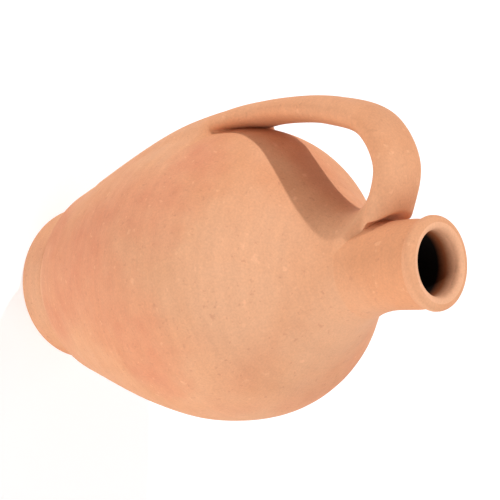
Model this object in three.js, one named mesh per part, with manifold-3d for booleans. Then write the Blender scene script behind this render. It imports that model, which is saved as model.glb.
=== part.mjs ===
// Terracotta amphora: a wheel-thrown jug with a flat foot, a full belly, a narrow neck with a
// rolled lip, and one pulled strap handle that runs from the neck down onto the belly.
//
// Millimetres, +Z up. The origin is the centre of the foot's flat underside, the vessel's axis
// is +Z, and the handle stands on the +X side, so the XZ plane is the mirror plane.
//
// Each thrown or pulled member of clay is one closed solid. Neighbours keep a gap of JOINT_GAP.

import * as THREE from 'three';
import { mergeVertices } from 'three/addons/utils/BufferGeometryUtils.js';
import Module from 'manifold-3d';

// ---------------------------------------------------------------- driving dimensions

const HEIGHT = 300;                // foot to lip
const FOOT_RADIUS = 52;            // where it rests
const FOOT_HEIGHT = 22;            // the upright band under the belly
const FOOT_CHAMFER = 1.5;          // worn lower edge
const FLOOR_THICKNESS = 10;        // the base disc under the hollow
const BELLY_RADIUS = 84.8;         // widest point
const BELLY_LEVEL = 150;           // height of the widest point
const FLARE_RADIUS = 64.05;        // where the quick flare above the foot eases off
const FLARE_LEVEL = 45.87;
const SHOULDER_RADIUS = 66.6;      // where the belly turns into the sloping shoulder
const SHOULDER_LEVEL = 209.5;
const NECK_RADIUS = 22.2;          // narrowest outside radius
const NECK_TOP = 276;              // from here up the neck is a straight tube
const BELLY_LOW = 100;             // joint between the lower body and the belly
const BELLY_HIGH = 185;            // joint between the belly and the shoulder
const NECK_BASE = 255;             // joint between the shoulder and the neck
const LIP_LEVEL = 293.8;           // joint between the neck and the lip
const LIP_RADIUS = 23.2;           // outside of the rolled lip
const MOUTH_RADIUS = 16;           // clear opening
const WALL = 6.2;                  // thrown wall

const HANDLE_WIDTH = 34;           // strap, across the mirror plane
const TAIL_FLARE = 1.36;           // how much wider the pressed tail of the strap is
const FLARE_LOW = 172;             // the strap has its full flare below this level
const FLARE_HIGH = 200;            // and none above this one
const HANDLE_THICKNESS = 14.4;     // strap, in the mirror plane
const LUTING_REACH = 5;            // clay smeared past the strap's edges
const LUTING_HEIGHT = 2.5;         // clay standing on the wall beside the strap

const JOINT_GAP = 0.3;

const SEGMENTS = 48;               // facets round the axis
const CURVE_STEPS = 7;             // facets along each curve of the outline
const STRAP_STEPS = 30;            // facets along the handle
const STRAP_SIDES = 20;            // facets round the strap

// ---------------------------------------------------------------- materials

function clay(name, colour, roughness = 0.9) {
  const material = new THREE.MeshStandardMaterial({ color: colour, roughness, metalness: 0 });
  material.name = name;
  return material;
}

const thrownClay = clay('thrown_terracotta', 0xe0a27a);
const footClay = clay('foot_terracotta', 0xdd9673);
const neckClay = clay('neck_terracotta', 0xe0a27c, 0.85);
const lipClay = clay('lip_terracotta', 0xe6ac88, 0.85);
const handleClay = clay('handle_terracotta', 0xe2a67f);
const lutingClay = clay('luting_terracotta', 0xdc9e76);

// ---------------------------------------------------------------- the thrown outline

const point = (radius, level) => new THREE.Vector2(radius, level);

// The outside from the foot's top edge to the top of the neck, as four smooth curves.
const footFlare = new THREE.CubicBezierCurve(
  point(FOOT_RADIUS, FOOT_HEIGHT),
  point(FOOT_RADIUS, 28.5),
  point(61.8, 36.7),
  point(FLARE_RADIUS, FLARE_LEVEL),
);
const flank = new THREE.CubicBezierCurve(
  point(FLARE_RADIUS, FLARE_LEVEL),
  point(72, 78.8),
  point(BELLY_RADIUS, 126.6),
  point(BELLY_RADIUS, BELLY_LEVEL),
);
const shoulderTurn = new THREE.CubicBezierCurve(
  point(BELLY_RADIUS, BELLY_LEVEL),
  point(BELLY_RADIUS, 178),
  point(79, 196.5),
  point(SHOULDER_RADIUS, SHOULDER_LEVEL),
);
const neckSweep = new THREE.CubicBezierCurve(
  point(SHOULDER_RADIUS, SHOULDER_LEVEL),
  point(44, 231.5),
  point(NECK_RADIUS, 246),
  point(NECK_RADIUS, NECK_TOP),
);

const outside = [
  ...footFlare.getPoints(CURVE_STEPS - 3),
  ...flank.getPoints(CURVE_STEPS).slice(1),
  ...shoulderTurn.getPoints(CURVE_STEPS).slice(1),
  ...neckSweep.getPoints(CURVE_STEPS + 1).slice(1),
  point(NECK_RADIUS, LIP_LEVEL),
];

// The same outline moved sideways by a distance, outwards when it is positive.
function offsetOutline(outline, distance) {
  return outline.map((here, index) => {
    const before = outline[Math.max(index - 1, 0)];
    const after = outline[Math.min(index + 1, outline.length - 1)];
    const along = after.clone().sub(before).normalize();
    return point(here.x + along.y * distance, here.y - along.x * distance);
  });
}

// The outside radius or inside radius at one level, read along an outline.
function radiusAt(outline, level) {
  const next = outline.findIndex((corner) => corner.y >= level);
  const upper = outline[Math.max(next, 1)];
  const lower = outline[Math.max(next, 1) - 1];
  const share = (level - lower.y) / (upper.y - lower.y);
  return lower.x + (upper.x - lower.x) * share;
}

// The stretch of an outline between two levels, with new end points exactly on them.
function stretch(outline, low, high) {
  const inner = outline.filter((corner) => corner.y > low + 1 && corner.y < high - 1);
  return [point(radiusAt(outline, low), low), ...inner, point(radiusAt(outline, high), high)];
}

const inside = offsetOutline(outside, -WALL);

// ---------------------------------------------------------------- solids

const wasm = await Module();
wasm.setup();

function toSolid(geometry) {
  const bare = geometry.clone();
  bare.deleteAttribute('normal');
  bare.deleteAttribute('uv');
  const merged = mergeVertices(bare, 1e-4);
  return new wasm.Manifold(new wasm.Mesh({
    numProp: 3,
    vertProperties: new Float32Array(merged.attributes.position.array),
    triVerts: new Uint32Array(merged.index.array),
  }));
}

function toGeometry(solid) {
  const mesh = solid.getMesh();
  const geometry = new THREE.BufferGeometry();
  geometry.setAttribute('position', new THREE.BufferAttribute(mesh.vertProperties, 3));
  geometry.setIndex(new THREE.BufferAttribute(mesh.triVerts, 1));
  geometry.computeVertexNormals();
  return geometry;
}

// A profile of (radius, level) points turned about +Z.
function turned(profile) {
  const geometry = new THREE.LatheGeometry(profile, SEGMENTS);
  geometry.rotateX(Math.PI / 2);
  return geometry;
}

// A ring of wall between two levels: up the outside, down the inside, and closed.
function wallRing(low, high) {
  const up = stretch(outside, low, high);
  const down = stretch(inside, low, high).reverse();
  return turned([...up, ...down, up[0].clone()]);
}

// The whole vessel as one filled body, grown by the joint gap, to trim what is stuck onto it.
function filledVessel() {
  const skin = offsetOutline(outside, JOINT_GAP);
  skin[0].y = FOOT_HEIGHT;
  const top = skin[skin.length - 1];
  return toSolid(turned([point(0, FOOT_HEIGHT), ...skin, point(0, top.y)]));
}

// ---------------------------------------------------------------- thrown members

function baseDiscGeometry() {
  const top = FLOOR_THICKNESS - JOINT_GAP / 2;
  return turned([
    point(0, 0),
    point(FOOT_RADIUS - FOOT_CHAMFER, 0),
    point(FOOT_RADIUS, FOOT_CHAMFER),
    point(FOOT_RADIUS, top),
    point(0, top),
  ]);
}

function footBandGeometry() {
  const low = FLOOR_THICKNESS + JOINT_GAP / 2;
  const high = FOOT_HEIGHT - JOINT_GAP / 2;
  const bandInside = radiusAt(inside, FOOT_HEIGHT + JOINT_GAP);
  const profile = [
    point(FOOT_RADIUS, low),
    point(FOOT_RADIUS, high),
    point(bandInside, high),
    point(bandInside - 3, low),
  ];
  profile.push(profile[0].clone());
  return turned(profile);
}

function lipGeometry() {
  const low = LIP_LEVEL + JOINT_GAP / 2;
  const middle = (LIP_RADIUS + MOUTH_RADIUS) / 2;
  const halfWidth = (LIP_RADIUS - MOUTH_RADIUS) / 2;
  const rise = HEIGHT - low;
  const profile = [point(MOUTH_RADIUS, low)];
  profile.push(point(NECK_RADIUS, low));
  const arcSteps = 8;
  for (let step = 0; step <= arcSteps; step += 1) {
    const angle = Math.PI * (step / arcSteps);
    profile.push(point(
      middle + halfWidth * Math.cos(angle),
      low + rise * (0.45 + 0.55 * Math.sin(angle)),
    ));
  }
  profile.push(profile[0].clone());
  return turned(profile);
}

// ---------------------------------------------------------------- the strap handle

// A smooth line in the mirror plane through (x, z) corners.
function mirrorPlaneCurve(corners) {
  const points = corners.map(([x, z]) => new THREE.Vector3(x, 0, z));
  return new THREE.CatmullRomCurve3(points, false, 'centripetal');
}

// A corner at one level, sunk by a depth below the thrown surface.
const sunk = (level, depth) => [radiusAt(outside, level) - depth, level];

// The strap's centre line: its tail lies in the belly's wall, then it leaves the wall, rises
// beside the shoulder, turns over and runs down into the neck.
const strapPath = mirrorPlaneCurve([
  sunk(82, 9.5), sunk(94, 7), sunk(110, 4.6), sunk(132, 2.2), [85, 152],
  [87.6, 180], [86.7, 211], [81.8, 241], [70.5, 268], [49.8, 278.2], [30, 272.5], [14, 263],
]);

// A strap of oval section along a path, wider where its tail is pressed onto the belly.
function strap(path, width, thickness, steps) {
  const section = new THREE.Shape();
  section.absellipse(0, 0, width / 2, thickness / 2, 0, 2 * Math.PI, false, 0);
  const geometry = new THREE.ExtrudeGeometry(section, {
    steps,
    curveSegments: STRAP_SIDES / 2,
    extrudePath: path,
  });
  const place = geometry.attributes.position;
  for (let index = 0; index < place.count; index += 1) {
    const free = THREE.MathUtils.smoothstep(place.getZ(index), FLARE_LOW, FLARE_HIGH);
    place.setY(index, place.getY(index) * THREE.MathUtils.lerp(TAIL_FLARE, 1, free));
  }
  return geometry;
}

function handleGeometry(vessel) {
  const whole = toSolid(strap(strapPath, HANDLE_WIDTH, HANDLE_THICKNESS, STRAP_STEPS));
  return toGeometry(whole.subtract(vessel));
}

// The handle's outside grown by the joint gap, to trim the luting beside it.
function handleClearance() {
  const grown = 2 * JOINT_GAP;
  return toSolid(strap(strapPath, HANDLE_WIDTH + grown, HANDLE_THICKNESS + grown, STRAP_STEPS));
}

// Clay smeared round the strap's tail where it is pressed onto the belly.
function lowerLutingGeometry(vessel, clearance) {
  const halfThickness = 7;
  const depth = halfThickness - LUTING_HEIGHT;
  const tail = mirrorPlaneCurve([
    sunk(66, 10), sunk(78, 6), sunk(96, depth), sunk(120, depth), sunk(146, depth),
    sunk(172, 7),
  ]);
  const width = HANDLE_WIDTH + 2 * LUTING_REACH;
  const smear = toSolid(strap(tail, width, 2 * halfThickness, 14));
  return toGeometry(smear.subtract(clearance).subtract(vessel));
}

// The web of clay that fills the corner between the strap's underside and the neck.
function upperLutingGeometry(vessel, clearance) {
  const bevel = 3;
  const halfWidth = HANDLE_WIDTH / 2 - 1;
  const outline = new THREE.Shape();
  outline.moveTo(20, 245);
  outline.lineTo(31, 245);
  outline.quadraticCurveTo(28, 261, 42, 274);
  outline.lineTo(36, 279);
  outline.lineTo(18, 270);
  outline.closePath();
  const web = new THREE.ExtrudeGeometry(outline, {
    depth: 2 * (halfWidth - bevel),
    bevelThickness: bevel,
    bevelSize: bevel,
    bevelOffset: -bevel,
    bevelSegments: 3,
    curveSegments: 8,
  });
  web.translate(0, 0, bevel - halfWidth);
  web.rotateX(Math.PI / 2);
  return toGeometry(toSolid(web).subtract(clearance).subtract(vessel));
}

// ---------------------------------------------------------------- assembly

const amphora = new THREE.Group();
amphora.name = 'amphora';

function add(name, geometry, material) {
  const mesh = new THREE.Mesh(geometry, material);
  mesh.name = name;
  amphora.add(mesh);
}

const halfGap = JOINT_GAP / 2;
const vessel = filledVessel();
const clearance = handleClearance();

add('base_disc', baseDiscGeometry(), footClay);
add('foot_band', footBandGeometry(), footClay);
add('lower_body', wallRing(FOOT_HEIGHT + halfGap, BELLY_LOW - halfGap), thrownClay);
add('belly', wallRing(BELLY_LOW + halfGap, BELLY_HIGH - halfGap), thrownClay);
add('shoulder', wallRing(BELLY_HIGH + halfGap, NECK_BASE - halfGap), thrownClay);
add('neck', wallRing(NECK_BASE + halfGap, LIP_LEVEL - halfGap), neckClay);
add('lip', lipGeometry(), lipClay);
add('handle', handleGeometry(vessel), handleClay);
add('lower_handle_luting', lowerLutingGeometry(vessel, clearance), lutingClay);
add('upper_handle_luting', upperLutingGeometry(vessel, clearance), lutingClay);

export default amphora;
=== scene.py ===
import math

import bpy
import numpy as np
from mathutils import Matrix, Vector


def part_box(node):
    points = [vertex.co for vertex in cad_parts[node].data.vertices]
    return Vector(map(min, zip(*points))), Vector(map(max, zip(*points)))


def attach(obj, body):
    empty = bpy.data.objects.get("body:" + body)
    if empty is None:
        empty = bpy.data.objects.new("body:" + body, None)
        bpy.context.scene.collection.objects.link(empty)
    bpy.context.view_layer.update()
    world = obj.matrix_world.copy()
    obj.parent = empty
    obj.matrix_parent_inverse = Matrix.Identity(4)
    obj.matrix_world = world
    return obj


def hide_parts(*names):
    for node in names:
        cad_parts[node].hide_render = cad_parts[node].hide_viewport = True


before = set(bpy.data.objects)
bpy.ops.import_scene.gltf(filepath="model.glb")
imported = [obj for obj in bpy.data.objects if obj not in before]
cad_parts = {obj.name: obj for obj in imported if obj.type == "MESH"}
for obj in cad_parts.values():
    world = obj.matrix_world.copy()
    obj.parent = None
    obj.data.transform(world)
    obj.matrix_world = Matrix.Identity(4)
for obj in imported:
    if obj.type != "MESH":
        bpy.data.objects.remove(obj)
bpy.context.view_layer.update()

# Looks for a terracotta amphora: a wheel-thrown jug whose strap handle is luted to its neck and
# belly. Metres, in the CAD model's frame: +Z up, the foot's underside on z = 0, the vessel's axis
# on +Z and the handle on the +X side.
#
# The thrown wall is a stack of fine turned rings. The strap and its two lutings are the skins of
# signed distance fields, so that one smooth function decides where each runs into the next.

MM = 0.001


# ---------------------------------------------------------------- sizes, from the frame

def joint_level(lower, upper):
    """The level of the joint between two stacked members."""
    return (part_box(lower)[1].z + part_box(upper)[0].z) / 2


FLOOR_LEVEL = joint_level("base_disc", "foot_band")
FOOT_LEVEL = joint_level("foot_band", "lower_body")
BELLY_LOW = joint_level("lower_body", "belly")
BELLY_HIGH = joint_level("belly", "shoulder")
NECK_BASE = joint_level("shoulder", "neck")
LIP_LEVEL = joint_level("neck", "lip")
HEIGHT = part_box("lip")[1].z
FOOT_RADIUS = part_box("foot_band")[1].x
BELLY_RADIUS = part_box("belly")[1].x
LIP_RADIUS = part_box("lip")[1].x
HANDLE_WIDTH = 34 * MM

BELLY_LEVEL = 150 * MM
SHOULDER_RADIUS = 66.6 * MM
SHOULDER_LEVEL = 209.5 * MM
NECK_RADIUS = 22.2 * MM
NECK_TOP = 276 * MM
MOUTH_RADIUS = 16 * MM
WALL = 6.2 * MM
FOOT_CHAMFER = 1.5 * MM

TAIL_FLARE = 1.36            # the tail's width over the strap's, where it is pressed flat
NEAR_FLARE = 1.7             # the same on the +Y side, where it was smeared further
FLARE_LOW = 170 * MM         # the tail has its full flare below this level
FLARE_HIGH = 200 * MM        # and none above this one
NECK_END = 0.88              # the width at the neck's end over the strap's
LOW_THICKNESS = 12.6 * MM    # the strap at its tail
HIGH_THICKNESS = 16.4 * MM   # and at the neck


# ---------------------------------------------------------------- small helpers

def smoothstep(low, high, value):
    """0 below low, 1 above high, and a smooth rise between them."""
    share = np.clip((value - low) / (high - low), 0, 1)
    return share * share * (3 - 2 * share)


def smooth_min(a, b, reach):
    """The lesser of a and b, rounded where they are within reach of each other."""
    near = np.maximum(reach - np.abs(a - b), 0) / np.maximum(reach, 1e-9)
    return np.minimum(a, b) - near * near * reach / 4


def smooth_max(a, b, reach):
    """The greater of a and b, rounded in the same way."""
    return -smooth_min(-a, -b, reach)


# ---------------------------------------------------------------- the thrown outline

def bezier(corners, count):
    """Points along the cubic curve with these four corners, which are in millimetres."""
    share = np.linspace(0, 1, count)[:, None]
    start, first, second, end = np.array(corners) * MM
    rest = 1 - share
    return (rest ** 3 * start + 3 * rest ** 2 * share * first
            + 3 * rest * share ** 2 * second + share ** 3 * end)


def thrown_outline():
    """(radius, level) points from the foot's top edge to the lip's joint."""
    foot = (FOOT_RADIUS / MM, FOOT_LEVEL / MM)
    belly = (BELLY_RADIUS / MM, BELLY_LEVEL / MM)
    shoulder = (SHOULDER_RADIUS / MM, SHOULDER_LEVEL / MM)
    neck = (NECK_RADIUS / MM, NECK_TOP / MM)
    flare = bezier([foot, (52, 28.5), (61.8, 36.7), (64.05, 45.87)], 40)
    flank = bezier([(64.05, 45.87), (72, 78.8), (belly[0], 126.6), belly], 100)
    turn = bezier([belly, (belly[0], 178), (79, 196.5), shoulder], 80)
    sweep = bezier([shoulder, (44, 231.5), (neck[0], 246), neck], 80)
    top = np.array([[NECK_RADIUS, HEIGHT]])
    return np.concatenate([flare, flank[1:], turn[1:], sweep[1:], top])


OUTLINE = thrown_outline()


def outline_radius(level):
    """Outside radius of the wall. The foot's band under it is upright."""
    return np.interp(level, OUTLINE[:, 1], OUTLINE[:, 0])


# Throwing marks that run round the wall: level, depth and half width in millimetres.
GROOVES = [
    (22.5, 0.5, 1.2),
    (38.5, 0.35, 1.6),
    (52.0, 0.15, 1.8),
    (64.0, 0.12, 2.2),
    (290.5, 0.5, 2.2),
]


def relief(angle, level):
    """How far the thrown wall stands off its true outline: sway, ridges and turned grooves."""
    on_body = smoothstep(24 * MM, 60 * MM, level) * (1 - smoothstep(225 * MM, 262 * MM, level))
    sway = 0.22 * np.sin(2 * angle + 22 * level) + 0.16 * np.sin(3 * angle - 31 * level + 1)
    sway = sway + 0.05 * np.sin(7 * angle + 90 * level)
    lean = -0.7 * np.cos(angle) * (1 - smoothstep(100 * MM, 150 * MM, level))
    ridges = 0.045 * np.sin(2 * math.pi * level / (7.3 * MM) + angle)
    ridges = ridges * (0.6 + 0.4 * np.sin(2 * angle + 30 * level))
    total = on_body * (sway + ridges) + lean
    for groove, depth, half_width in GROOVES:
        along = (level - groove * MM) / (half_width * MM)
        uneven = 0.75 + 0.25 * np.sin(3 * angle + groove)
        total = total - depth * uneven * np.exp(-along * along)
    return total * MM


def wall_radius(angle, level):
    return outline_radius(level) + relief(angle, level)


def wall_distance(x, y, z):
    """Signed distance from the thrown wall's outside, positive outside it."""
    step = 0.5 * MM
    slope = (outline_radius(z + step) - outline_radius(z - step)) / (2 * step)
    return (np.hypot(x, y) - wall_radius(np.arctan2(y, x), z)) / np.sqrt(1 + slope * slope)


# ---------------------------------------------------------------- the strap's path

def sunk(level, depth):
    """A corner at one level in millimetres, sunk by a depth below the thrown surface."""
    return (float(np.interp(level * MM, OUTLINE[:, 1], OUTLINE[:, 0])) / MM - depth, level)


STRAP_CORNERS = [
    sunk(82, 9.5), sunk(94, 7), sunk(110, 4.6), sunk(132, 2.2), (85.0, 152),
    (87.6, 180), (86.7, 211), (81.8, 241), (70.5, 268), (49.8, 278.2), (30, 272.5), (14, 263),
]


def smooth_path(corners, spacing):
    """The centripetal Catmull-Rom curve through the corners, as evenly spaced points."""
    points = np.array(corners) * MM
    points = np.concatenate([
        [2 * points[0] - points[1]], points, [2 * points[-1] - points[-2]],
    ])
    fine = []
    for index in range(1, len(points) - 2):
        a, b, c, d = points[index - 1:index + 3]
        gaps = [math.sqrt(np.linalg.norm(q - p)) for p, q in ((a, b), (b, c), (c, d))]
        into = ((b - a) / gaps[0] - (c - a) / (gaps[0] + gaps[1]) + (c - b) / gaps[1]) * gaps[1]
        out = ((c - b) / gaps[1] - (d - b) / (gaps[1] + gaps[2]) + (d - c) / gaps[2]) * gaps[1]
        for share in np.linspace(0, 1, 40, endpoint=False):
            square, cube = share ** 2, share ** 3
            fine.append(
                (2 * cube - 3 * square + 1) * b + (cube - 2 * square + share) * into
                + (3 * square - 2 * cube) * c + (cube - square) * out
            )
    fine.append(points[-2])
    fine = np.array(fine)
    run = np.concatenate([[0], np.cumsum(np.linalg.norm(np.diff(fine, axis=0), axis=1))])
    even = np.linspace(0, run[-1], int(run[-1] / spacing) + 1)
    return np.stack([np.interp(even, run, fine[:, axis]) for axis in (0, 1)], axis=1)


PATH_STEP = 0.5 * MM
PATH = smooth_path(STRAP_CORNERS, PATH_STEP)
TANGENT = np.gradient(PATH, axis=0)
TANGENT /= np.linalg.norm(TANGENT, axis=1)[:, None]
OUTWARD = np.stack([TANGENT[:, 1], -TANGENT[:, 0]], axis=1)
PATH_LENGTH = PATH_STEP * (len(PATH) - 1)


def beside_path(x, z):
    """Length along the strap's path, and distance off it towards the loop's outside."""
    points = np.stack([np.ravel(x), np.ravel(z)], axis=1)
    nearest = np.empty(len(points), int)
    batch = 4000
    for start in range(0, len(points), batch):
        part = points[start:start + batch]
        apart = part[:, None, :] - PATH[None, :, :]
        nearest[start:start + batch] = np.square(apart).sum(axis=2).argmin(axis=1)
    offset = points - PATH[nearest]
    along = nearest * PATH_STEP + (offset * TANGENT[nearest]).sum(axis=1)
    outward = (offset * OUTWARD[nearest]).sum(axis=1)
    return along.reshape(np.shape(x)), outward.reshape(np.shape(x))


# ---------------------------------------------------------------- the distance fields

STRAP_SQUARENESS = 2.25      # 2 is an ellipse
CREASE_GAP = 3.6 * MM        # between the strap's end and the neck, at the surface
CREASE_DEPTH = 13 * MM       # where it would close, measured in from the strap's skin
CREASE_EDGE = 1.4 * MM       # rounding of its edges
CREASE_FROM = -3 * MM        # it fades in from here, off the strap's path,
CREASE_FULL = 1 * MM         # to here, so the inner half of the strap stays on the neck
NO_CREASE = -8 * MM
TAIL_BLEND = 12 * MM
CREASE_TIP = 178 * MM        # above this level the strap has left the belly
WEB_BLEND = 18 * MM
SINK = 0.03 * MM             # a luting's feathered edge dips this far under its neighbours
BURIED = 1.5 * MM            # a luting's hidden side lies this far under their skins
ROOT = 3 * MM                # how far the strap reaches into the wall


def strap_distance(along, outward, y, z):
    """Signed distance from the strap's oval section, and where it ends at the neck."""
    free = smoothstep(FLARE_LOW, FLARE_HIGH, z)
    near_side = y > 0
    flare = np.where(near_side, NEAR_FLARE, TAIL_FLARE)
    half_width = HANDLE_WIDTH / 2 * (flare + (1 - flare) * free)
    half_width = half_width * (1 + (NECK_END - 1) * smoothstep(0.4, 0.8, along / PATH_LENGTH))
    curl = np.where(near_side, (1 - free) * y * y / (2 * BELLY_RADIUS), 0)
    thicker = smoothstep(0.3, 0.9, along / PATH_LENGTH)
    half_thickness = (LOW_THICKNESS + (HIGH_THICKNESS - LOW_THICKNESS) * thicker) / 2
    power = STRAP_SQUARENESS
    across = np.abs(y) / half_width + 1e-6
    through = np.abs(outward + curl) / half_thickness + 1e-6
    size = (across ** power + through ** power) ** (1 / power)
    steep = np.hypot(across ** (power - 1) / half_width, through ** (power - 1) / half_thickness)
    section = (size - 1) * size ** (power - 1) / steep
    ends = np.maximum(-along, along - PATH_LENGTH)
    return np.maximum(section, ends)


def trimmed_strap(wall, along, outward, y, z):
    """The strap with a crease opened between its outer face and the neck."""
    whole = strap_distance(along, outward, y, z)
    outer = smoothstep(CREASE_FROM, CREASE_FULL, outward)
    gap = CREASE_GAP * np.sqrt(np.clip(1 + np.minimum(whole, 0) / CREASE_DEPTH, 0, 1))
    gap = gap * outer + NO_CREASE * (1 - outer)
    cut = np.where(along > 0.6 * PATH_LENGTH, gap - wall, -1)
    return smooth_max(whole, cut, CREASE_EDGE)


def fields(x, y, z, along, outward):
    """Signed distances from the thrown wall and from the strap."""
    wall = wall_distance(x, y, z)
    strap = trimmed_strap(wall, along, outward, y, z)
    return wall, strap


def handle_field(x, y, z, along, outward):
    wall, strap = fields(x, y, z, along, outward)
    return np.maximum(strap, -(wall + ROOT))


def lower_luting_field(x, y, z, along, outward):
    wall, strap = fields(x, y, z, along, outward)
    reach = TAIL_BLEND * (1 - smoothstep(CREASE_TIP - 10 * MM, CREASE_TIP, z))
    skin = smooth_min(wall, strap, reach) + SINK
    inner = -(np.minimum(wall, strap) + BURIED)
    edge = np.maximum(strap - TAIL_BLEND, wall - TAIL_BLEND)
    return np.maximum(np.maximum(skin, inner), np.maximum(edge, z - CREASE_TIP))


def upper_luting_field(x, y, z, along, outward):
    wall, strap = fields(x, y, z, along, outward)
    under = 1 - smoothstep(-6 * MM, 0, outward)
    skin = smooth_min(wall, strap, WEB_BLEND * under) + SINK
    inner = -(np.minimum(wall, strap) + BURIED)
    edge = np.maximum(np.maximum(strap, wall) - WEB_BLEND, outward)
    return np.maximum(np.maximum(skin, inner), edge)


# ---------------------------------------------------------------- meshes

SHARP_ANGLE = math.radians(40)


def new_piece(name, places, faces, materials, nodes):
    """A smooth-shaded mesh that takes the place of CAD nodes in one material slot."""
    mesh = bpy.data.meshes.new(name)
    mesh.from_pydata(places.tolist(), [], faces)
    mesh.validate()
    for material in materials:
        mesh.materials.append(material)
    mesh.polygons.foreach_set("use_smooth", [True] * len(mesh.polygons))
    mesh.set_sharp_from_angle(angle=SHARP_ANGLE)
    piece = bpy.data.objects.new(name, mesh)
    bpy.context.scene.collection.objects.link(piece)
    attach(piece, "root")
    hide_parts(*nodes)
    return piece


def skin_of(field, low, high, cell):
    """The zero surface of a field in a box, as a closed quad mesh (surface nets)."""
    axes = [np.arange(low[i], high[i] + cell, cell) for i in range(3)]
    x, y, z = np.meshgrid(*axes, indexing="ij", sparse=True)
    along, outward = beside_path(*np.broadcast_arrays(x, z))
    shape = [len(axis) for axis in axes]
    grid = [np.broadcast_to(part, shape) for part in (x, y, z, along, outward)]
    value = field(*grid)
    for axis in range(3):
        rim = [slice(None)] * 3
        for side in (0, -1):
            rim[axis] = side
            value[tuple(rim)] = np.maximum(value[tuple(rim)], cell)

    solid = value < 0
    total = np.zeros([size - 1 for size in shape] + [3])
    count = np.zeros([size - 1 for size in shape])
    crossings = {}
    for axis in range(3):
        near = tuple(slice(None, -1) if a == axis else slice(None) for a in range(3))
        far = tuple(slice(1, None) if a == axis else slice(None) for a in range(3))
        crossed = solid[near] != solid[far]
        share = np.where(crossed, value[near] / (value[near] - value[far] + 1e-30), 0)
        others = [a for a in range(3) if a != axis]
        for first in (0, 1):
            for second in (0, 1):
                pick = [slice(None)] * 3
                pick[others[0]] = slice(first, shape[others[0]] - 1 + first)
                pick[others[1]] = slice(second, shape[others[1]] - 1 + second)
                here = crossed[tuple(pick)]
                count += here
                total[..., axis] += np.where(here, share[tuple(pick)], 0)
                total[..., others[0]] += here * first
                total[..., others[1]] += here * second
        crossings[axis] = (crossed, solid[near])

    used = count > 0
    number = np.full(used.shape, -1)
    number[used] = np.arange(used.sum())
    corner = np.stack(np.nonzero(used), axis=1)
    places = np.array(low) + cell * (corner + total[used] / count[used][:, None])

    faces = []
    for axis, (crossed, inside_first) in crossings.items():
        u, v = [(1, 2), (2, 0), (0, 1)][axis]
        spots = np.stack(np.nonzero(crossed), axis=1)
        spots = spots[(spots[:, u] > 0) & (spots[:, v] > 0)]
        spots = spots[(spots[:, u] < shape[u] - 1) & (spots[:, v] < shape[v] - 1)]
        back_u = np.eye(3, dtype=int)[u]
        back_v = np.eye(3, dtype=int)[v]
        loop = [spots - back_u - back_v, spots - back_v, spots, spots - back_u]
        quads = np.stack([number[tuple(cells.T)] for cells in loop], axis=1)
        outwards = inside_first[tuple(spots.T)]
        quads[~outwards] = quads[~outwards][:, ::-1]
        faces.append(quads)
    return settle(field, places, cell), np.concatenate(faces)


def settle(field, places, cell):
    """Moves each point onto the field's zero surface, by a few short steps."""
    def value_at(points):
        x, y, z = points.T
        return field(x, y, z, *beside_path(x, z))

    step = 0.02 * MM
    for _ in range(3):
        here = value_at(places)
        slope = np.stack([
            (value_at(places + step * direction) - here) / step for direction in np.eye(3)
        ], axis=1)
        steep = np.maximum(np.square(slope).sum(axis=1), 0.3)
        move = -(here / steep)[:, None] * slope
        length = np.linalg.norm(move, axis=1)[:, None]
        places = places + move * np.minimum(1, 0.35 * cell / np.maximum(length, 1e-12))
    return places


# ---------------------------------------------------------------- the thrown wall's rings

AROUND = 288                 # facets round the axis
ROW = 1.3 * MM               # spacing of the rows up the outside


def levels(low, high, row):
    """Evenly spaced levels, about a row apart."""
    return np.linspace(low, high, max(2, int(round((high - low) / row)) + 1))


def inside_profile(low, high):
    """The hollow's (radius, level) points between two joints, going down."""
    coarse = OUTLINE[::4]
    along = np.gradient(coarse, axis=0)
    along /= np.linalg.norm(along, axis=1)[:, None]
    inner = coarse + WALL * np.stack([-along[:, 1], along[:, 0]], axis=1)
    down = levels(low, high, 4 * MM)[::-1]
    return np.stack([np.interp(down, inner[:, 1], inner[:, 0]), down], axis=1)


def turned(name, outer, inner, materials, nodes):
    """A closed ring from outside points going up and inside points going down.

    The outer points carry the relief of the thrown wall. Points on the axis make a solid disc.
    The first material is for the outside and the second for the hollow.
    """
    profile = np.concatenate([outer, inner])
    angle = np.arange(AROUND) * 2 * math.pi / AROUND
    rows = []
    places = []
    for index, (radius, level) in enumerate(profile):
        first = sum(len(row) for row in places)
        if radius < 1e-6:
            places.append(np.array([[0, 0, level]]))
            rows.append([first] * AROUND)
            continue
        reach = radius + (relief(angle, level) if index < len(outer) else 0)
        ring = np.stack([reach * np.cos(angle), reach * np.sin(angle), np.full(AROUND, level)])
        places.append(ring.T)
        rows.append(list(range(first, first + AROUND)))
    faces = []
    closed = profile[0][0] > 1e-6
    steps = len(rows) if closed else len(rows) - 1
    for index in range(steps):
        here, above = rows[index], rows[(index + 1) % len(rows)]
        for side in range(AROUND):
            after = (side + 1) % AROUND
            corners = [here[side], here[after], above[after], above[side]]
            faces.append(list(dict.fromkeys(corners)))
    piece = new_piece(name, np.concatenate(places), faces, materials, nodes)
    hollow = [int(index >= len(outer) - 1) for index in range(steps) for _ in range(AROUND)]
    piece.data.polygons.foreach_set("material_index", hollow)


def wall_piece(name, low, high, materials):
    up = levels(low, high, ROW)
    outer = np.stack([outline_radius(up), up], axis=1)
    turned(name, outer, inside_profile(low, high), materials, [name])


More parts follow.
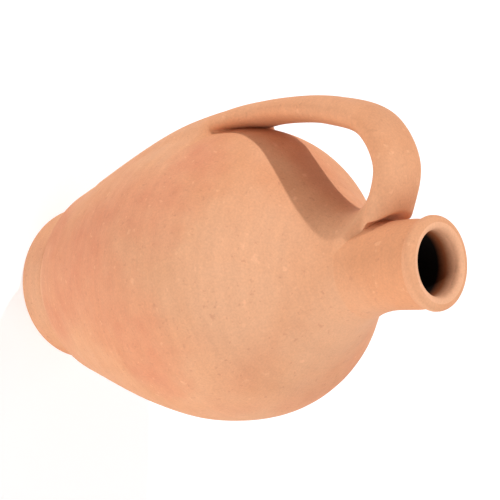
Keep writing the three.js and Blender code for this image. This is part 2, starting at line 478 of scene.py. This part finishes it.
def foot_pieces(materials):
    arc = np.linspace(0, math.pi / 2, 7)
    edge = np.stack([
        FOOT_RADIUS - FOOT_CHAMFER + FOOT_CHAMFER * np.sin(arc),
        FOOT_CHAMFER - FOOT_CHAMFER * np.cos(arc),
    ], axis=1)
    up = levels(FOOT_CHAMFER, FLOOR_LEVEL, ROW)[1:]
    side = np.stack([outline_radius(up), up], axis=1)
    under = np.array([[0, 0], [0.5 * FOOT_RADIUS, 0]])
    outer = np.concatenate([under, edge, side])
    inner = np.array([[0.5 * FOOT_RADIUS, FLOOR_LEVEL], [0, FLOOR_LEVEL]])
    turned("base_disc", outer, inner, materials, ["base_disc"])

    up = levels(FLOOR_LEVEL, FOOT_LEVEL, ROW)
    outer = np.stack([outline_radius(up), up], axis=1)
    top = inside_profile(FOOT_LEVEL, FOOT_LEVEL + MM)[-1]
    narrowing = 3 * MM
    inner = np.array([top, [top[0] - narrowing, FLOOR_LEVEL]])
    turned("foot_band", outer, inner, materials, ["foot_band"])


def lip_piece(materials):
    middle = (LIP_RADIUS + MOUTH_RADIUS) / 2
    half_width = (LIP_RADIUS - MOUTH_RADIUS) / 2
    rise = HEIGHT - LIP_LEVEL
    arc = np.linspace(0, math.pi, 33)
    crown = np.stack([
        middle + half_width * np.sign(np.cos(arc)) * np.abs(np.cos(arc)) ** 0.8,
        LIP_LEVEL + rise * (0.45 + 0.55 * np.sin(arc) ** 0.8),
    ], axis=1)
    start = outline_radius(np.array([LIP_LEVEL]))[0]
    up = np.linspace(0, 1, 4)[:-1]
    flank = np.stack([
        start + (crown[0, 0] - start) * smoothstep(0, 1, up),
        LIP_LEVEL + (crown[0, 1] - LIP_LEVEL) * up,
    ], axis=1)
    outer = np.concatenate([flank, crown[:17]])
    inner = np.concatenate([crown[17:], [[MOUTH_RADIUS, LIP_LEVEL]]])
    turned("lip", outer, inner, materials, ["lip"])


# ---------------------------------------------------------------- materials

PALE = (0.71, 0.355, 0.195)
WARM = (0.69, 0.310, 0.155)
PINK = (0.66, 0.250, 0.135)
BLEACH = (0.72, 0.385, 0.225)
# Painted light: a paler clay for the hollow, which brightens the lip's inner face.
PAINTED_RIM_LIGHT = (0.78, 0.410, 0.240)
PAINTED_SHADE_BROWN = (0.33, 0.100, 0.035)
PAINTED_SHADE_BLACK = (0.004, 0.002, 0.001)

# The levels of the painted shade down the mouth's hollow: the clay is unshaded above the first, a
# painted shaded brown at the second, and painted black below the third.
PAINTED_MOUTH_SHADE_LEVELS = (HEIGHT - 4 * MM, HEIGHT - 9 * MM, HEIGHT - 14 * MM)


def on_wall(angle, level):
    """The point on the wall at an angle in degrees from the handle and a level in millimetres."""
    radius = float(outline_radius(level * MM))
    turn = math.radians(angle)
    return (radius * math.cos(turn), radius * math.sin(turn), level * MM)


# Marks of the fire: the middle of each, its reach, and how strong it is.
STRAP_BACK = (92 * MM, 8 * MM, 215 * MM)
FLUSHED = [
    (on_wall(40, 183), 28 * MM, 0.9),
    (on_wall(60, 175), 36 * MM, 0.7),
    (on_wall(75, 120), 55 * MM, 0.8),
    (on_wall(95, 140), 45 * MM, 0.6),
    (on_wall(107, 158), 34 * MM, 0.7),
    (on_wall(123, 160), 30 * MM, 0.8),
    (STRAP_BACK, 26 * MM, 0.8),
]
BLEACHED = [
    (on_wall(101, 216), 60 * MM, 0.9),
    (on_wall(76, 222), 45 * MM, 0.8),
    (on_wall(160, 237), 50 * MM, 0.9),
    (on_wall(145, 203), 50 * MM, 0.3),
    (on_wall(90, 14), 50 * MM, 0.8),
]
WAVER = 45 * MM              # how far the edges of the marks wander


class Nodes:
    """Builds one material's nodes. Every method gives the output that the next one takes."""

    def __init__(self, material):
        material.use_nodes = True
        self.tree = material.node_tree
        self.place = self.add("ShaderNodeTexCoord", {}).outputs["Object"]

    def add(self, kind, inputs, operation=None):
        """Adds a node whose inputs are values or the outputs of other nodes."""
        node = self.tree.nodes.new(kind)
        if operation:
            node.operation = operation
        for key, value in inputs.items():
            if isinstance(value, bpy.types.NodeSocket):
                self.tree.links.new(value, node.inputs[key])
            else:
                node.inputs[key].default_value = value
        return node

    def noise_node(self, scale, detail, roughness, source):
        return self.add("ShaderNodeTexNoise", {
            "Vector": source, "Scale": scale, "Detail": detail, "Roughness": roughness,
        })

    def noise(self, scale, detail=3.0, stretch=None, roughness=0.5):
        source = self.place
        if stretch:
            mapping = {"Vector": self.place, "Scale": stretch}
            source = self.add("ShaderNodeMapping", mapping).outputs["Vector"]
        return self.noise_node(scale, detail, roughness, source).outputs["Fac"]

    def spread(self, value, low, high, to_low=0.0, to_high=1.0):
        return self.add("ShaderNodeMapRange", {
            "Value": value, "From Min": low, "From Max": high,
            "To Min": to_low, "To Max": to_high,
        }).outputs["Result"]

    def mixed(self, share, first, second):
        """The first colour where share is 0 and the second where it is 1."""
        node = self.tree.nodes.new("ShaderNodeMix")
        node.data_type = "RGBA"
        colours = [socket for socket in node.inputs if socket.type == "RGBA"]
        for socket, value in zip(colours, (first, second)):
            if isinstance(value, tuple):
                socket.default_value = (*value, 1)
            else:
                self.tree.links.new(value, socket)
        factor = [s for s in node.inputs if s.name == "Factor" and s.type == "VALUE"][0]
        self.tree.links.new(share, factor)
        return [s for s in node.outputs if s.type == "RGBA"][0]

    def scaled(self, colour, share):
        inputs = {0: colour, "Scale": share}
        return self.add("ShaderNodeVectorMath", inputs, "SCALE").outputs["Vector"]

    def wavering_place(self):
        """The place, moved about by noise, so that a round mark gets a ragged edge."""
        waver = self.noise_node(40, 4, 0.5, self.place).outputs["Color"]
        middle = {0: self.scaled(waver, WAVER), 1: (-WAVER / 2, -WAVER / 2, -WAVER / 2)}
        drift = self.add("ShaderNodeVectorMath", middle, "ADD").outputs["Vector"]
        moved = {0: self.place, 1: drift}
        return self.add("ShaderNodeVectorMath", moved, "ADD").outputs["Vector"]

    def marks(self, place, spots):
        """How strongly the fire has marked a place: the most that any of the spots gives."""
        most = 0.0
        for centre, reach, share in spots:
            ends = {0: place, 1: centre}
            apart = self.add("ShaderNodeVectorMath", ends, "DISTANCE").outputs["Value"]
            mark = self.spread(apart, reach, 0.25 * reach, 0, share)
            most = self.add("ShaderNodeMath", {0: most, 1: mark}, "MAXIMUM").outputs["Value"]
        return most

    def bumps(self, heights):
        """A normal that carries each (height, distance) on top of the one before."""
        inputs = {}
        for height, distance in heights:
            inputs.update({"Strength": 1.0, "Distance": distance, "Height": height})
            inputs["Normal"] = self.add("ShaderNodeBump", inputs).outputs["Normal"]
        return inputs["Normal"]


def fired_colour(build, pale, warm, pink):
    """Clouds of pale and warm clay, flushed and bleached marks, and a sandy grain."""
    clouds = build.spread(build.noise(15, 3, roughness=0.55), 0.38, 0.64)
    colour = build.mixed(clouds, pale, warm)
    blush = build.spread(build.noise(11, 2, (1.0, 1.3, 0.8)), 0.5, 0.68, 0, 0.8)
    colour = build.mixed(blush, colour, pink)
    place = build.wavering_place()
    colour = build.mixed(build.marks(place, BLEACHED), colour, BLEACH)
    colour = build.mixed(build.marks(place, FLUSHED), colour, pink)
    mottle = build.spread(build.noise(90, 4), 0.3, 0.7, 0, 0.3)
    colour = build.mixed(mottle, colour, tuple(1.12 * part for part in pale))
    chips = build.spread(build.noise(230, 2), 0.67, 0.73, 0, 0.35)
    colour = build.mixed(chips, colour, tuple(1.2 * part for part in BLEACH))
    sand = build.spread(build.noise(340, 3), 0.64, 0.72, 0, 0.3)
    return build.mixed(sand, colour, tuple(0.72 * part for part in pink))


def painted_mouth_shade(build, colour, shade_levels):
    """Painted shade: the colour, going to a shaded brown and then to black down through the three
    levels.
    """
    plain, half_shade_level, full_shade_level = shade_levels
    split = build.add("ShaderNodeSeparateXYZ", {"Vector": build.place})
    level = split.outputs["Z"]
    colour = build.mixed(build.spread(level, half_shade_level, plain), PAINTED_SHADE_BROWN, colour)
    return build.mixed(build.spread(level, full_shade_level, half_shade_level, 1, 0), colour, PAINTED_SHADE_BLACK)


def clay(name, pale, warm, pink, grain=1.0, shade_levels=None):
    """Unglazed terracotta. pale, warm and pink are the three colours that it drifts between."""
    material = bpy.data.materials.new(name)
    build = Nodes(material)
    colour = fired_colour(build, pale, warm, pink)
    # Painted shade: given shade levels, the colour goes to brown and then black lower down.
    if shade_levels:
        colour = painted_mouth_shade(build, colour, shade_levels)
    streaks = build.spread(build.noise(1, 4, (9, 9, 330)), 0.35, 0.65, 0.98, 1.02)
    speckle = build.spread(build.noise(900, 2), 0.3, 0.7, 0.95, 1.05)
    colour = build.scaled(build.scaled(colour, streaks), speckle)

    shader = build.tree.nodes["Principled BSDF"]
    shader.inputs["Specular IOR Level"].default_value = 0.22
    links = build.tree.links
    links.new(colour, shader.inputs["Base Color"])
    dryness = build.spread(build.noise(120, 3), 0.3, 0.7, 0.78, 0.95)
    links.new(dryness, shader.inputs["Roughness"])
    normal = build.bumps([
        (build.noise(26, 3), 0.5 * MM),
        (build.noise(1, 3, (6, 6, 420)), 0.03 * MM * grain),
        (build.noise(420, 4, roughness=0.6), 0.16 * MM * grain),
        (build.noise(1500, 2), 0.05 * MM * grain),
    ])
    links.new(normal, shader.inputs["Normal"])
    return material


# ---------------------------------------------------------------- build

def build_pieces():
    body_clay = clay("body_clay", PALE, WARM, PINK)
    foot_clay = clay("foot_clay", PALE, WARM, PINK, grain=1.4)
    neck_clay = clay("neck_clay", WARM, WARM, PINK)
    lip_clay = clay("lip_clay", PALE, WARM, WARM)
    handle_clay = clay("handle_clay", PALE, WARM, WARM)
    luting_clay = clay("luting_clay", PALE, WARM, WARM)
    # The hollow's clay: a paler colour as painted light on the lip's inner face, with painted
    # shade going to black further into the mouth and in the foot.
    hollow_painted_shade_clay = clay("hollow_painted_shade_clay", PAINTED_RIM_LIGHT, PAINTED_RIM_LIGHT, BLEACH, grain=2, shade_levels=PAINTED_MOUTH_SHADE_LEVELS)

    foot_pieces([foot_clay, hollow_painted_shade_clay])
    thrown = [body_clay, hollow_painted_shade_clay]
    wall_piece("lower_body", FOOT_LEVEL, BELLY_LOW, thrown)
    wall_piece("belly", BELLY_LOW, BELLY_HIGH, thrown)
    wall_piece("shoulder", BELLY_HIGH, NECK_BASE, thrown)
    wall_piece("neck", NECK_BASE, LIP_LEVEL, [neck_clay, hollow_painted_shade_clay])
    lip_piece([lip_clay, hollow_painted_shade_clay])

    cell = 0.9 * MM
    margin = 3 * MM
    for name, field, material, slot, reach in (
        ("handle", handle_field, handle_clay, "handle_clay", 0),
        ("lower_handle_luting", lower_luting_field, luting_clay, "luting_clay", 16 * MM),
        ("upper_handle_luting", upper_luting_field, luting_clay, "luting_clay", 18 * MM),
    ):
        low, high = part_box(name)
        low = [part - margin - reach for part in low]
        high = [part + margin + reach for part in high]
        places, faces = skin_of(field, low, high, cell)
        new_piece(name, places, faces.tolist(), [material], [name])


# ---------------------------------------------------------------- floor, light and camera

def add_floor():
    mesh = bpy.data.meshes.new("floor")
    half = 6.0
    mesh.from_pydata([(-half, -half, 0), (half, -half, 0), (half, half, 0), (-half, half, 0)],
                     [], [(0, 1, 2, 3)])
    floor = bpy.data.objects.new("floor", mesh)
    bpy.context.scene.collection.objects.link(floor)
    material = bpy.data.materials.new("floor_white")
    material.use_nodes = True
    shader = material.node_tree.nodes["Principled BSDF"]
    shader.inputs["Base Color"].default_value = (0.6, 0.59, 0.595, 1)
    shader.inputs["Roughness"].default_value = 0.9
    shader.inputs["Specular IOR Level"].default_value = 0.0
    shader.inputs["Emission Color"].default_value = (1, 1, 1, 1)
    shader.inputs["Emission Strength"].default_value = 0.53
    mesh.materials.append(material)


def aim(obj, place, target, roll=0.0):
    """Puts a camera or light at a place, facing a target, and rolls it about its own axis."""
    back = (Vector(place) - Vector(target)).normalized()
    turn = back.to_track_quat("Z", "Y").to_matrix() @ Matrix.Rotation(roll, 3, "Z")
    obj.matrix_world = Matrix.Translation(place) @ turn.to_4x4()


# Studio lights: the direction each one comes from, its strength, and how wide it is in degrees.
# The small key throws the handle's shadow; the wide ones are soft boxes and pale walls.
LIGHTS = {
    "key": ((0.73, -0.22, 0.64), 2.0, 1.5),
    "front_box": ((-0.05, 1.0, 0.03), 2.1, 50),
    "top_box": ((0.30, -0.05, 0.95), 0.35, 50),
    "low_wall": ((-0.68, 0.15, 0.72), 1.85, 60),
    "back_wall": ((-0.2, -0.93, 0.3), 1.1, 60),
}
ROOM_GLOW = 0.06


def add_lights():
    for name, (direction, strength, width) in LIGHTS.items():
        sun = bpy.data.lights.new(name, "SUN")
        sun.energy = strength
        sun.angle = math.radians(width)
        lamp = bpy.data.objects.new(name, sun)
        bpy.context.scene.collection.objects.link(lamp)
        aim(lamp, Vector(direction) * 2, (0, 0, 0))

    world = bpy.data.worlds.new("studio")
    bpy.context.scene.world = world
    world.use_nodes = True
    nodes, links = world.node_tree.nodes, world.node_tree.links
    background = nodes["Background"]
    background.inputs["Color"].default_value = (1, 1, 1, 1)
    rays = nodes.new("ShaderNodeLightPath")
    glow = nodes.new("ShaderNodeMapRange")
    glow.inputs["To Min"].default_value = ROOM_GLOW
    glow.inputs["To Max"].default_value = 1
    links.new(rays.outputs["Is Camera Ray"], glow.inputs["Value"])
    links.new(glow.outputs["Result"], background.inputs["Strength"])


def add_camera():
    """The photograph's angle: a quarter turn round from the handle, high over the mouth, and
    rolled so that the handle is uppermost in the picture."""
    azimuth, elevation = math.radians(89.9), math.radians(47.2)
    target = Vector((13.1 * MM, -8.7 * MM, 158.1 * MM))
    back = Vector((math.cos(elevation) * math.cos(azimuth),
                   math.cos(elevation) * math.sin(azimuth), math.sin(elevation)))
    data = bpy.data.cameras.new("camera")
    data.lens = 72
    data.sensor_width = 36
    data.clip_start = 0.01
    data.dof.use_dof = False
    camera = bpy.data.objects.new("camera", data)
    bpy.context.scene.collection.objects.link(camera)
    aim(camera, target + back * 585.4 * MM, target, math.radians(85.6))
    bpy.context.scene.camera = camera


build_pieces()
add_floor()
add_lights()
add_camera()
bpy.context.scene.view_settings.view_transform = "Standard"
